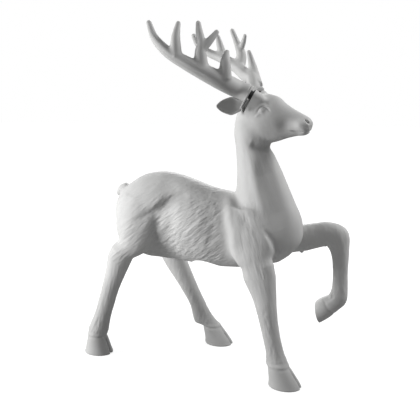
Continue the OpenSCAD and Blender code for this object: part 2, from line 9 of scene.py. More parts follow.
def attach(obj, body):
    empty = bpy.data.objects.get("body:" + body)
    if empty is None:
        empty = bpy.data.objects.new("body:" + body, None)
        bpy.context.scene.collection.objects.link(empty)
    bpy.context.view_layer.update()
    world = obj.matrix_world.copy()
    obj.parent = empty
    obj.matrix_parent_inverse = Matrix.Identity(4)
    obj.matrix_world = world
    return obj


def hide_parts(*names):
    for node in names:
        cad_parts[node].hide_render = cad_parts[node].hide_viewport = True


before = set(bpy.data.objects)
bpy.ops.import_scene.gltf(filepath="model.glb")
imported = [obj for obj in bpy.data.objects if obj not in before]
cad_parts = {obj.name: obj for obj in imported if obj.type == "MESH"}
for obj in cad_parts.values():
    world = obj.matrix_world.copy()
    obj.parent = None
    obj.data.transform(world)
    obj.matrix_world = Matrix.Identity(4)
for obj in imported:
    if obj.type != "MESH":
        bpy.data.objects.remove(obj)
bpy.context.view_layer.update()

# Body halves: two hollow mouldings of matte grey polyethylene, screwed together along the middle of
# the animal. The mould is faired from oval cuts, and muscles, face and coat are modelled into its skin.
WALL = 3
SPIGOT = 40
BODY_GRAIN = 4
# Lengths are in millimetres, and the frame's zero, in the middle of the figure's length, is at ZERO_LINE
ZERO_LINE = np.array([54.5, 0, 0])
# An oval cut is given as x, y, z, its tilt in degrees, half its height and half its width
TORSO = [
    [-329, 0, 536, 0, 36, 26],
    [-315, 0, 530, 0, 72, 64],
    [-277, 0, 520.5, 0, 118.5, 91],
    [-217, 0, 520.5, 0, 152.5, 105],
    [-145, 0, 525, 0, 162, 102],
    [-79, 0, 521.5, 0, 159.5, 93],
    [-22, 0, 511.5, 0, 153.5, 106],
    [50, 0, 497.5, 0, 143.5, 110],
    [122, 0, 492, 0, 136, 101],
    [195, 0, 491, 0, 127, 97],
    [275, 0, 490.5, 0, 103.5, 82],
    [335, 0, 485, 0, 65, 58],
]
NECK = [
    [278, 0, 391, 92, 28, 30],
    [268, 0, 420, 92, 78, 68],
    [264, 0, 467, 93, 118, 84],
    [256, 0, 530, 94, 126, 85],
    [246, 0, 602, 98, 103, 75],
    [228, 0, 692, 102, 80, 60],
    [205, 0, 780, 104, 60.5, 51],
    [197, 0, 846, 100, 60, 48],
    [199, 0, 900, 92, 52, 44],
]
HEAD = [
    [158, 0, 890, -12, 30, 26],
    [182, 0, 896, -14, 58, 44],
    [222, 0, 894, -17, 72, 52],
    [262, 0, 876, -20, 82, 52],
    [302, 0, 864, -20, 66, 43],
    [340, 0, 862, -18, 48, 33],
    [371, 0, 859, -17, 36, 28],
    [392, 0, 854, -18, 29, 27],
    [404, 0, 851, -18, 18, 16],
]
RIGHT_HIND_JOINT = [-278, -109, 360, -118, 46, 33]
LEFT_HIND_JOINT = [-164, 102, 352, -64, 48, 33]
RIGHT_FORE_JOINT = [267, -92, 354, -78, 57, 32]
LEFT_FORE_JOINT = [372, 84, 466, 12, 47, 33]
RIGHT_THIGH = [
    [-200, -52, 600, -92, 80, 40],
    [-200, -70, 530, -94, 100, 44],
    [-213, -84, 470, -98, 82, 42],
    [-219, -97, 425, -108, 60, 38],
]
LEFT_THIGH = [
    [-200, 52, 600, -92, 80, 40],
    [-200, 70, 530, -90, 99, 44],
    [-200, 84, 470, -82, 86, 42],
    [-192, 96, 420, -70, 64, 38],
]
RIGHT_SHOULDER = [
    [212, -50, 582, -96, 64, 40],
    [222, -66, 510, -90, 86, 44],
    [234, -78, 450, -84, 78, 40],
    [243, -87, 414, -80, 64, 36],
]
LEFT_SHOULDER = [
    [226, 50, 566, -64, 66, 38],
    [250, 64, 504, -42, 78, 42],
    [290, 75, 469, -14, 66, 39],
]
TAIL = [[-297, 0, 622, 16], [-317, 0, 615, 17], [-329, 0, 605, 15.5], [-336, 0, 597, 12]]
SEAT = np.array([214.0, -42.0, 956.0])
ANTLER_AXIS = np.array([-0.843, -0.241, 0.482]) / np.linalg.norm([-0.843, -0.241, 0.482])
SEAT_CONE = [(6, 24.5), (-20, 21), (-38, 18), (-68, 7)]
SEAT_FOOT = [(-24, 19, 13), (-10, 22, 17), (10, 25, 19)]
SOCKET_R, SOCKET_DEPTH = 14.8, 38
EAR_DROP = 38
FLANGE = 4
WELL_X, WELL_R, LEDGE_R = 40, 64, 44
LEDGE_Z, LEDGE_T = 396, 6


def faired(stations, steps):
    """A smooth run through the listed stations, with a number of steps between each two."""
    listed = np.array(stations, float)
    ends = np.vstack([listed[:1], listed, listed[-1:]])
    run = []
    for i in range(len(listed) - 1):
        before, start, end, after = ends[i:i + 4]
        for share in np.arange(steps) / steps:
            bend = share**2 * (2 * before - 5 * start + 4 * end - after)
            bend += share**3 * (3 * start - before - 3 * end + after)
            run.append(0.5 * (2 * start + share * (end - before) + bend))
    run.append(listed[-1])
    return np.array(run)


def slid(station, distance):
    """An oval cut moved along its own axis."""
    tilt = math.radians(station[3])
    x, y, z = station[0] + distance * math.cos(tilt), station[1], station[2] + distance * math.sin(tilt)
    return [x, y, z, station[3], station[4], station[5]]


def grown(station, amount):
    """An oval cut made larger all round."""
    return [*station[:4], station[4] + amount, station[5] + amount]


def oval(station, sides):
    """The points of one oval cut."""
    x, y, z, tilt, half_height, half_width = station
    tilt = math.radians(tilt)
    turn = np.arange(sides) * 2 * math.pi / sides
    rise = half_height * np.cos(turn)
    return np.stack([x - math.sin(tilt) * rise, y + half_width * np.sin(turn), z + math.cos(tilt) * rise], 1)


def tube(rings):
    """Points and faces of a closed tube over rings of points."""
    sides = len(rings[0])
    faces = []
    for start in range(0, (len(rings) - 1) * sides, sides):
        for i in range(sides):
            a, b = start + i, start + (i + 1) % sides
            faces.append((a, a + sides, b + sides, b))
    last = (len(rings) - 1) * sides
    faces.append(tuple(range(sides)))
    faces.append(tuple(range(last + sides - 1, last - 1, -1)))
    return np.vstack(rings), faces


def limb(stations, sides):
    """A closed skin over a run of oval cuts."""
    return tube([oval(cut, sides) for cut in faired(stations, 8)])


def axes_of(way):
    """Two directions across a way: down the head's side, and the third."""
    way = np.array(way, float)
    bearing = math.atan2(way[1], way[0])
    fall = math.acos(way[2] / np.linalg.norm(way))
    level = math.cos(fall)
    first = np.array([level * math.cos(bearing), level * math.sin(bearing), -math.sin(fall)])
    return first, np.array([-math.sin(bearing), math.cos(bearing), 0])


def foot_outline(height, large, small, sides=64):
    """The egg shaped outline of an antler's foot, at a height on the antler's axis."""
    down, across = axes_of(ANTLER_AXIS)
    lean = math.acos((large - small) / EAR_DROP)
    big_turn = np.linspace(lean, 2 * math.pi - lean, sides // 2)
    small_turn = np.linspace(-lean, lean, sides // 2)
    big = [(large * math.cos(turn), large * math.sin(turn)) for turn in big_turn]
    little = [(EAR_DROP + small * math.cos(turn), small * math.sin(turn)) for turn in small_turn]
    middle = SEAT + ANTLER_AXIS * height
    return np.array([middle + down * drop + across * aside for drop, aside in big + little])


def disc(middle, way, radius, sides=48):
    """A circle of points about a middle, facing a way."""
    first, second = axes_of(way)
    turn = np.arange(sides) * 2 * math.pi / sides
    return np.array(middle) + radius * (np.outer(np.cos(turn), first) + np.outer(np.sin(turn), second))


def axis_bar(radius, low, high):
    """A round bar on the right antler's axis, between two heights over its seat."""
    return tube([disc(SEAT + ANTLER_AXIS * height, ANTLER_AXIS, radius) for height in (low, high)])


def mirrored(solid):
    """A solid of the right side as it is on the left."""
    points, faces = solid
    return points * (1, -1, 1), [tuple(reversed(face)) for face in faces]


def set_out(name, data):
    """An object of the scene over a mesh, a lamp or a camera."""
    piece = bpy.data.objects.new(name, data)
    bpy.context.scene.collection.objects.link(piece)
    return piece


def new_piece(name, solids):
    """An object over one or more closed solids, given in millimetres from the zero line."""
    points, faces, start = [], [], 0
    for solid_points, solid_faces in solids:
        points.append((solid_points - ZERO_LINE) / 1000)
        faces += [tuple(i + start for i in face) for face in solid_faces]
        start += len(solid_points)
    mesh = bpy.data.meshes.new(name)
    mesh.from_pydata(np.vstack(points).tolist(), [], faces)
    work = bmesh.new()
    work.from_mesh(mesh)
    bmesh.ops.recalc_face_normals(work, faces=work.faces)
    work.to_mesh(mesh)
    work.free()
    return set_out(name, mesh)


def baked(piece):
    """Makes the modifiers' result the piece's own mesh."""
    bpy.context.view_layer.update()
    graph = bpy.context.evaluated_depsgraph_get()
    mesh = bpy.data.meshes.new_from_object(piece.evaluated_get(graph))
    old = piece.data
    piece.modifiers.clear()
    piece.data = mesh
    mesh.name = piece.name
    bpy.data.meshes.remove(old)
    return piece


def merged(name, solids, grain):
    """One skin of even small faces over solids that run into each other."""
    piece = new_piece(name, solids)
    remesh = piece.modifiers.new("merge", "REMESH")
    remesh.mode = "VOXEL"
    remesh.voxel_size = grain / 1000
    return baked(piece)


def combined(piece, solids, operation="DIFFERENCE"):
    """Cuts solids out of a piece one by one, or adds them to it."""
    for solid in solids:
        tool = new_piece("tool", [solid])
        cut = piece.modifiers.new("cut", "BOOLEAN")
        cut.operation = operation
        cut.solver = "MANIFOLD"
        cut.object = tool
        baked(piece)
        bpy.data.meshes.remove(tool.data)
    return piece


class Clay:
    """A piece as the pattern maker's clay: its points, in millimetres, are pressed and swelled, and the depth
    of its hollows is kept as painted shade.
    """

    def __init__(self, mesh):
        self.mesh = mesh
        flat = np.empty(len(mesh.vertices) * 3)
        mesh.vertices.foreach_get("co", flat)
        self.points = flat.reshape(-1, 3) * 1000 + ZERO_LINE
        pairs = np.empty(len(mesh.edges) * 2, np.int32)
        mesh.edges.foreach_get("vertices", pairs)
        self.pairs = pairs.reshape(-1, 2)
        self.hollow = np.zeros(len(self.points))

    def outward(self):
        """Puts the points in the mesh and gives the way that each of them faces."""
        self.mesh.vertices.foreach_set("co", ((self.points - ZERO_LINE) / 1000).ravel())
        self.mesh.update()
        flat = np.empty(len(self.points) * 3)
        self.mesh.vertex_normals.foreach_get("vector", flat)
        return flat.reshape(-1, 3)

    def to_neighbours(self):
        """The step from each point to the middle of its neighbours."""
        count = len(self.points)
        first, second = self.pairs.T
        total = np.empty_like(self.points)
        for axis in range(3):
            along = self.points[:, axis]
            total[:, axis] = np.bincount(first, along[second], count)
            total[:, axis] += np.bincount(second, along[first], count)
        return total / np.bincount(self.pairs.ravel(), minlength=count)[:, None] - self.points

    def smooth(self, rounds):
        """Smooths small steps and keeps the size."""
        for _ in range(rounds):
            self.points += 0.50 * self.to_neighbours()
            self.points -= 0.52 * self.to_neighbours()

    def fillet(self, rounds, place=None, reach=1):
        """Fills the corners between limbs, everywhere or about a place, and wears nothing down."""
        share = 1.0
        if place is not None:
            share = np.exp(-(np.linalg.norm(self.points - np.array(place), axis=1) / reach) ** 2)
        for _ in range(rounds):
            out = self.outward()
            rise = np.clip((self.to_neighbours() * out).sum(1), 0, None) * share
            self.points += out * rise[:, None]

    def near(self, line):
        """Each point's distance from a line through the listed places, and its share of the way along."""
        places = np.array(line, float)
        lengths = np.linalg.norm(np.diff(places, axis=0), axis=1)
        passed = np.concatenate([[0], np.cumsum(lengths)])
        best = np.full(len(self.points), np.inf)
        share = np.zeros(len(self.points))
        for i, length in enumerate(lengths):
            span = (places[i + 1] - places[i]) / length
            reach = np.clip((self.points - places[i]) @ span, 0, length)
            distance = np.linalg.norm(self.points - places[i] - reach[:, None] * span, axis=1)
            closer = distance < best
            best[closer] = distance[closer]
            share[closer] = (passed[i] + reach[closer]) / passed[-1]
        return best, share

    def press(self, line, width, depth, fade=0.25):
        """A soft groove along a line, shallower towards its ends, with painted shade in it; a negative depth
        raises a ridge.
        """
        distance, share = self.near(line)
        shape = np.exp(-(distance / width) ** 2)
        if fade:
            shape *= np.clip(np.minimum(share, 1 - share) / fade, 0.15, 1)
        self.points -= self.outward() * (depth * shape)[:, None]
        self.hollow += np.clip(depth, 0, None) * shape

    def swell(self, middle, radius, height):
        """A soft rise about a place; a negative height makes a dent, with painted shade in it."""
        distance = np.linalg.norm(self.points - np.array(middle), axis=1)
        shape = np.exp(-(distance / radius) ** 2)
        self.points += self.outward() * (height * shape)[:, None]
        self.hollow += np.clip(-height, 0, None) * shape

    def comb(self, weight, lay, count, length, width, depth, seed):
        """Strokes of coat along the lay, some cut in and some raised; the cut ones get painted shade."""
        chance = np.random.default_rng(seed)
        share = weight(self.points)
        starts = chance.choice(len(self.points), count, p=share / share.sum())
        out = self.outward()
        tree = kdtree.KDTree(len(self.points))
        for i, place in enumerate(self.points):
            tree.insert(place, i)
        tree.balance()
        cut = np.zeros(len(self.points))
        raised = np.zeros(len(self.points))
        for order, start in enumerate(starts):
            middle = self.points[start]
            facing = out[start]
            way = lay(middle[None])[0] + chance.normal(0, 0.13, 3)
            way -= facing * (way @ facing)
            way /= np.linalg.norm(way)
            side = np.cross(facing, way)
            long = length * chance.uniform(0.6, 1.4)
            wide = width * chance.uniform(0.7, 1.3)
            found = np.array([i for _, i, _ in tree.find_range(middle, long / 2)])
            rest = self.points[found] - middle
            profile = np.exp(-((rest @ side) / wide) ** 2) * np.clip(1 - (2 * (rest @ way) / long) ** 2, 0, 1)
            profile *= depth * chance.uniform(0.5, 1.2) * share[start] ** 0.5
            layer = raised if order % 3 == 0 else cut
            layer[found] = np.maximum(layer[found], profile)
        self.points += out * (0.8 * raised - cut)[:, None]
        self.hollow += cut

    def finish(self, coat=0):
        """Puts the points back in the mesh, with the painted shade of the hollows and how much coat there is.
        """
        self.outward()
        for name, values in (("hollow", np.clip(self.hollow, 0, 12)), ("coat", self.hollow * 0 + coat)):
            layer = self.mesh.attributes.new(name, "FLOAT", "POINT")
            layer.data.foreach_set("value", values.astype(np.float32))


def between(values, low, high):
    """0 below low, 1 above high, and a soft change between."""
    share = np.clip((values - low) / (high - low), 0, 1)
    return share * share * (3 - 2 * share)


def within(values, low, full, fade, high):
    """1 from full to fade, 0 below low and above high, and a soft change between."""
    return between(values, low, full) * (1 - between(values, fade, high))


def with_joint(upper, joint):
    """An upper limb that runs on past its joint, where it is cut off flat."""
    run = faired([*upper, slid(joint, -SPIGOT)], 6)
    return tube([oval(cut, 56) for cut in [*run, joint, slid(joint, 25), slid(joint, 50)]])


def branch(stations, steps=8, sides=40):
    """A round branch through stations [x, y, z, radius], with a rounded point."""
    run = faired(stations, steps)
    headings = np.gradient(run[:, :3], axis=0)
    tip, end = run[-1], headings[-1] / np.linalg.norm(headings[-1])
    for turn in np.radians((30, 55, 75, 87)):
        run = np.vstack([run, [*(tip[:3] + end * tip[3] * math.sin(turn)), tip[3] * math.cos(turn)]])
        headings = np.vstack([headings, end])
    across = np.cross(headings[0], (0.3, 1, 0.2))
    angle = np.arange(sides) * 2 * math.pi / sides
    rings = []
    for station, heading in zip(run, headings):
        heading = heading / np.linalg.norm(heading)
        across = across - heading * (across @ heading)
        across /= np.linalg.norm(across)
        third = np.cross(heading, across)
        circle = np.outer(np.cos(angle), across) + np.outer(np.sin(angle), third)
        rings.append(station[:3] + station[3] * circle)
    return tube(rings)


seat_cone = branch([[*(SEAT + ANTLER_AXIS * height), radius] for height, radius in SEAT_CONE])
seat_foot = tube([foot_outline(height - FLANGE, large, small) for height, large, small in SEAT_FOOT])
body = merged("body", [
    limb(TORSO, 96),
    limb(NECK, 80),
    limb(HEAD, 80),
    with_joint(RIGHT_THIGH, RIGHT_HIND_JOINT),
    with_joint(LEFT_THIGH, LEFT_HIND_JOINT),
    with_joint(RIGHT_SHOULDER, RIGHT_FORE_JOINT),
    with_joint(LEFT_SHOULDER, LEFT_FORE_JOINT),
    seat_cone,
    seat_foot,
    mirrored(seat_cone),
    mirrored(seat_foot),
    branch(TAIL),
], BODY_GRAIN)
clay = Clay(body.data)
clay.smooth(3)
clay.fillet(40)
for side in (-1, 1):
    clay.fillet(160, (228, side * 56, 930), 36)
    clay.fillet(200, (242, side * 34, 952), 40)
clay.smooth(4)
clay.outward()

# The face is finer than the trunk, so its mesh is divided once more
FACE_BACK, FACE_FOOT = 0.130, 0.785
work = bmesh.new()
work.from_mesh(body.data)
face_edges = {edge for face in work.faces for edge in face.edges
              if face.calc_center_median().x > FACE_BACK and face.calc_center_median().z > FACE_FOOT}
bmesh.ops.subdivide_edges(work, edges=list(face_edges), cuts=1, use_grid_fill=True)
work.to_mesh(body.data)
work.free()
clay = Clay(body.data)
clay.smooth(5)
for side in (-1, 1):
    clay.fillet(150, (250, side * 34, 948), 26)


def model_side(clay, side):
    """Models one side of the animal; the places are those of its right side."""

    def here(*places):
        """Places on this side, joined by a smooth line."""
        line = np.array(places, float) * (1, -side, 1)
        return faired(line, 5) if len(line) > 2 else line

    # Flank: the ribs stand out between the haunch and the shoulder
    clay.swell(here((0, -106, 520))[0], 75, 5)
    clay.swell(here((-215, -122, 505))[0], 70, 6)
    clay.press(here((-2, -68, 623), (-47, -81, 608), (-87, -86, 581), (-112, -94, 548), (-124, -96, 504),
                    (-135, -85, 446), (-146, -63, 399)), 22, 6)
    clay.press(here((2, -66, 624), (-40, -80, 610), (-78, -86, 590), (-105, -92, 566)), 18, 6)
    clay.press(here((-67, -81, 599), (-110, -92, 569), (-146, -100, 546), (-176, -113, 528),
                    (-203, -118, 505)), 13, 5)
    clay.press(here((-22, -84, 604), (-63, -95, 557), (-91, -96, 519), (-104, -93, 477),
                    (-115, -80, 427)), 22, -2)
    clay.press(here((80, -80, 588), (90, -97, 545), (98, -103, 500), (103, -99, 450)), 30, 2.5)
    # Shoulder: a blade with a clear edge behind, and a furrow between it and the neck
    clay.press(here((110, -39, 618), (119, -77, 579), (133, -97, 525), (145, -98, 474),
                    (146, -86, 426)), 20, 2)
    clay.press(here((131, -19, 624), (148, -69, 586), (162, -93, 543), (178, -102, 494), (182, -104, 443),
                    (201, -110, 405)), 22, -7)
    clay.press(here((146, -11, 624), (170, -59, 597), (196, -91, 569), (222, -102, 536),
                    (250, -105, 515)), 19, 4.5)
    # Neck: an edge down the side, the plane ahead of it flatter
    clay.press(here((214, -51, 790), (225, -55, 728), (243, -64, 663), (266, -75, 599),
                    (283, -81, 544)), 18, -4)
    clay.press(here((240, -46, 761), (264, -53, 696), (288, -61, 632), (316, -66, 567),
                    (336, -64, 512)), 30, 6)

    # Cheek and jaw, undercut against the neck
    clay.swell(here((227, -46, 850))[0], 32, 4)
    clay.press(here((209, -49, 800), (232, -45, 789), (254, -30, 782), (266, -12, 782),
                    (270, 0, 782)), 12, 7, 0.2)
    # Eye: a dish, the ball, the line under the upper lid, the lid and the fold over it, the lower lid
    clay.swell(here((254, -48, 908))[0], 20, -2.5)
    clay.swell(here((252, -49, 906))[0], 9, 4)
    clay.press(here((235, -52, 897), (242, -49, 912), (254, -47, 920), (268, -46, 915),
                    (280, -46, 901)), 3.0, 2.2, 0.2)
    clay.press(here((233, -51, 905), (241, -47, 919), (254, -45, 925), (267, -44, 921),
                    (279, -45, 910)), 3.6, -1.6, 0.2)
    clay.press(here((229, -50, 915), (240, -46, 928), (253, -42, 932), (267, -41, 929),
                    (280, -43, 917)), 5, 1.6)
    clay.press(here((230, -52, 884), (238, -52, 892), (247, -52, 898)), 4, -1.4)
    # Muzzle: a hollow cheek, a full lip with the nostril over it, and the mouth
    clay.swell(here((324, -37, 862))[0], 22, -6)
    clay.swell(here((375, -27, 861))[0], 17, 7)
    clay.press(here((336, -28, 841), (350, -26, 840), (366, -22, 838), (384, -21, 837),
                    (398, -13, 839)), 3.0, 5, 0.3)
    clay.press(here((340, -25, 832), (368, -22, 829), (390, -17, 831)), 4, -1.5)
    clay.press(here((388, -21, 878), (396, -21, 872), (402, -18, 865)), 2.8, 6, 0.1)
    clay.press(here((386, -25, 871), (396, -24, 863), (402, -19, 857)), 3.5, -2)


for side in (-1, 1):
    model_side(clay, side)
# The mouth line runs round the front of the nose
clay.press([(396, -15, 839), (402, -8, 839), (403, 0, 838), (402, 8, 839), (396, 15, 839)], 2.8, 3, 0)
# The nose is painted darker than the muzzle, in the same layer as the painted shade of the hollows
clay.hollow += 8 * np.exp(-(np.linalg.norm(clay.points - (402, 0, 864), axis=1) / 20) ** 2)
# The right foreleg stands clear of the breast
clay.press([(276, -92, 525), (300, -90, 493), (316, -73, 457), (329, -56, 424)], 10, 5)
clay.press([(276, -101, 507), (296, -98, 471), (305, -68, 424)], 12, -2.5)
UPPER_LIMB_COAT = 0.4


def coat_weight(points, upper_limbs=0):
    """Where the coat is modelled: on the flank and shoulder, fainter on the rump, limbs, cheek and neck."""
    x, _, z = points.T
    flank = within(x, -150, -90, 105, 150) * within(z, 372, 420, 580, 620)
    back = 0.4 * (1 - between(x, 60, 120)) * between(z, 580, 620)
    rump = 0.42 * (1 - between(x, -130, -70)) * within(z, 340, 420, 580, 620)
    limbs = upper_limbs * (1 - between(z, 380, 430))
    blade = 0.36 * within(x, 170, 210, 280, 320) * within(z, 372, 420, 580, 640)
    neck = 0.2 * between(x, 150, 190) * within(z, 620, 680, 760, 830)
    cheek = 0.03 * within(x, 190, 220, 300, 340) * within(z, 790, 820, 880, 900)
    return 0.03 + np.clip(flank + back + rump + limbs + blade + neck + cheek, 0, 1)


def tuft_weight(points):
    """Where single deeper tufts lie: low on the ribs, and in the furrow behind the neck."""
    ribs = np.linalg.norm((points - (75, 0, 475)) * (1, 0, 1), axis=1)
    furrow = np.linalg.norm((points - (205, 0, 560)) * (1, 0, 1.4), axis=1)
    return np.exp(-(ribs / 45) ** 2) + np.exp(-(furrow / 40) ** 2)


def coat_lay(points):
    """The way the coat lies: back and down on the flank, straight down on the breast and neck."""
    x = points[:, 0]
    ahead = between(x, 110, 190)
    haunch = 1 - between(x, -200, -90)
    back = np.stack([-0.80 + 0 * x, 0 * x, -0.60 - 0.25 * haunch], 1)
    down = np.stack([0.3 + 0 * x, 0 * x, -1 + 0 * x], 1)
    return back * (1 - ahead)[:, None] + down * ahead[:, None]


clay.comb(coat_weight, coat_lay, count=2400, length=52, width=3.4, depth=0.7, seed=7)
clay.comb(coat_weight, coat_lay, count=260, length=80, width=6, depth=0.8, seed=11)
clay.comb(tuft_weight, coat_lay, count=80, length=38, width=3.4, depth=1.4, seed=3)
clay.finish(coat_weight(clay.points, UPPER_LIMB_COAT))

# Small pads with a hole carry the leg screws, on the inner side of each joint and under the raised one
PAD_R, PAD_RISE, PAD_HOLE_R = 7, 2.5, 2.6
raised_tilt = math.radians(LEFT_FORE_JOINT[3])
joints = [
    (RIGHT_HIND_JOINT, (0, -1, 0)),
    (LEFT_HIND_JOINT, (0, 1, 0)),
    (RIGHT_FORE_JOINT, (0, -1, 0)),
    (LEFT_FORE_JOINT, (-math.sin(raised_tilt), 0, math.cos(raised_tilt))),
]
leg_screw_places = []
pads, pad_holes = [], []
for joint, way in joints:
    way = np.array(way)
    reach = joint[4] if way[1] == 0 else joint[5]
    face = np.array(slid(joint, -SPIGOT / 2)[:3]) - way * (reach + PAD_RISE)
    leg_screw_places.append((face, -way))
    pads.append(tube([disc(face + way * depth, way, PAD_R, 32) for depth in (0, 9)]))
    pad_holes.append(tube([disc(face + way * depth, way, PAD_HOLE_R, 24) for depth in (-3, 17)]))
combined(body, pads, "UNION")

# The halves are cut: leg joints flat, room and bore for the antlers, the well of the belly hatch, and
# in the left half the deep holes of the screws that hold the halves together
SHELL_SCREWS = [(-255, 565), (-70, 620), (-90, 430), (218, 650), (205, 790), (300, 480)]
SHELL_SCREW_Y, POCKET_FLOOR_Y, POCKET_R = 22, 18, 5.1
ROOM_R, EAR_ROOM_R = 31, 22
antler_room = tube([foot_outline(height, ROOM_R, EAR_ROOM_R) for height in (-FLANGE, 66)])
socket_bore = axis_bar(SOCKET_R, -SOCKET_DEPTH, 6)
joint_ends = [tube([oval(grown(slid(joint, reach), 9), 48) for reach in (0, 70)]) for joint, _ in joints]
screw_pockets = [tube([disc((x, y, z), (0, 1, 0), POCKET_R, 32) for y in (POCKET_FLOOR_Y, 135)])
                 for x, z in SHELL_SCREWS]
well_steps = [
    (LEDGE_Z - 90, WELL_R),
    (LEDGE_Z, WELL_R),
    (LEDGE_Z + 0.01, LEDGE_R),
    (LEDGE_Z + LEDGE_T, LEDGE_R),
]
well = tube([disc((WELL_X, 0, z), (0, 0, 1), radius, 96) for z, radius in well_steps])
combined(body, [antler_room, mirrored(antler_room), socket_bore, mirrored(socket_bore), well,
                *joint_ends, *screw_pockets, *pad_holes])
FLATNESS = 0.05


def open_ends(piece, ends):
    """Takes away the flat faces that close an opening; an end is a place, the way it faces and a reach."""
    work = bmesh.new()
    work.from_mesh(piece.data)
    gone = []
    for face in work.faces:
        corners = np.array([corner.co for corner in face.verts]) * 1000 + ZERO_LINE
        for place, way, reach in ends:
            flat = np.abs((corners - place) @ way).max() < FLATNESS
            if flat and np.linalg.norm(corners.mean(0) - place) < reach:
                gone.append(face)
                break
    bmesh.ops.delete(work, geom=gone, context="FACES")
    work.to_mesh(piece.data)
    work.free()


ends = []
for joint, _ in joints:
    tilt = math.radians(joint[3])
    ends.append((np.array(joint[:3], float), np.array([math.cos(tilt), 0, math.sin(tilt)]), 80))
for flip in ((1, 1, 1), (1, -1, 1)):
    ends.append(((SEAT - ANTLER_AXIS * SOCKET_DEPTH) * flip, ANTLER_AXIS * flip, 20))
for x, z in SHELL_SCREWS:
    ends.append((np.array([x, POCKET_FLOOR_Y, z], float), np.array([0, 1.0, 0]), 8))
ends.append((np.array([WELL_X, 0, LEDGE_Z + LEDGE_T], float), np.array([0, 0, 1.0]), 50))
open_ends(body, ends)
# The points that the cuts made get their share of coat too, so that the coat runs on to the joints
rim_coat = coat_weight(Clay(body.data).points, UPPER_LIMB_COAT)
body.data.attributes["coat"].data.foreach_set("value", rim_coat.astype(np.float32))
HALF_GAP = 0.3


def creased(piece, angle=50):
    """Smooth shading that breaks at sharp edges."""
    piece.data.shade_smooth()
    piece.data.set_sharp_from_angle(angle=math.radians(angle))


def half_of(whole, name, side):
    """One half of the body, with a hairline left between the halves and a wall behind its skin."""
    piece = set_out(name, whole.data.copy())
    work = bmesh.new()
    work.from_mesh(piece.data)
    everything = [*work.verts, *work.edges, *work.faces]
    bmesh.ops.bisect_plane(work, geom=everything, plane_co=(0, side * HALF_GAP / 1000, 0),
                           plane_no=(0, side, 0), clear_inner=True)
    work.to_mesh(piece.data)
    work.free()
    wall = piece.modifiers.new("wall", "SOLIDIFY")
    wall.thickness = WALL / 1000
    wall.offset = -1
    baked(piece)
    creased(piece)
    return piece


right_body = half_of(body, "right_body_moulding", -1)
left_body = half_of(body, "left_body_moulding", 1)
bpy.data.meshes.remove(body.data)


def wired(tree, kind, inputs, **settings):
    """A node of a tree with its settings; an input gets a value, or the other node's output that feeds it."""
    node = tree.nodes.new(kind)
    for name, value in settings.items():
        setattr(node, name, value)
    for name, value in inputs.items():
        if isinstance(value, bpy.types.NodeSocket):
            tree.links.new(value, node.inputs[name])
        else:
            node.inputs[name].default_value = value
    return node


def spread(tree, value, low, high, to_low, to_high, change="LINEAR"):
    """A value's range from low to high drawn out to another range."""
    ranges = {"Value": value, "From Min": low, "From Max": high, "To Min": to_low, "To Max": to_high}
    return wired(tree, "ShaderNodeMapRange", ranges, interpolation_type=change).outputs["Result"]


def times(tree, first, second):
    """The product of two values."""
    return wired(tree, "ShaderNodeMath", {0: first, 1: second}, operation="MULTIPLY").outputs["Value"]


def noise(tree, place, scale, detail):
    """A cloudy pattern over the piece."""
    inputs = {"Vector": place, "Scale": scale, "Detail": detail}
    return wired(tree, "ShaderNodeTexNoise", inputs).outputs["Fac"]


def streaks(tree, place, lay, along, across):
    """A noise drawn out along the lay of the coat, which is an angle from the level in the side view."""
    turned = wired(tree, "ShaderNodeMapping", {
        "Vector": place,
        "Rotation": (0, -math.radians(lay), 0),
        "Scale": (along, across, across),
    }, vector_type="TEXTURE")
    return noise(tree, turned.outputs["Vector"], 1, 3)


def bump(tree, height, strength, distance, over=None):
    """The way a surface faces where a pattern lifts it, laid over a finer relief where there is one."""
    inputs = {"Height": height, "Strength": strength, "Distance": distance}
    if over is not None:
        inputs["Normal"] = over
    return wired(tree, "ShaderNodeBump", inputs).outputs["Normal"]


def finish_of(name):
    """A new material: its node tree, its shader's inputs and the place on the piece."""
    material = bpy.data.materials.new(name)
    material.use_nodes = True
    tree = material.node_tree
    place = wired(tree, "ShaderNodeTexCoord", {}).outputs["Object"]
    return material, tree, tree.nodes["Principled BSDF"].inputs, place


def tinted(tree, colour, tone):
    """A colour at a share of its tone."""
    inputs = {0: colour, "Scale": tone}
    return wired(tree, "ShaderNodeVectorMath", inputs, operation="SCALE").outputs["Vector"]


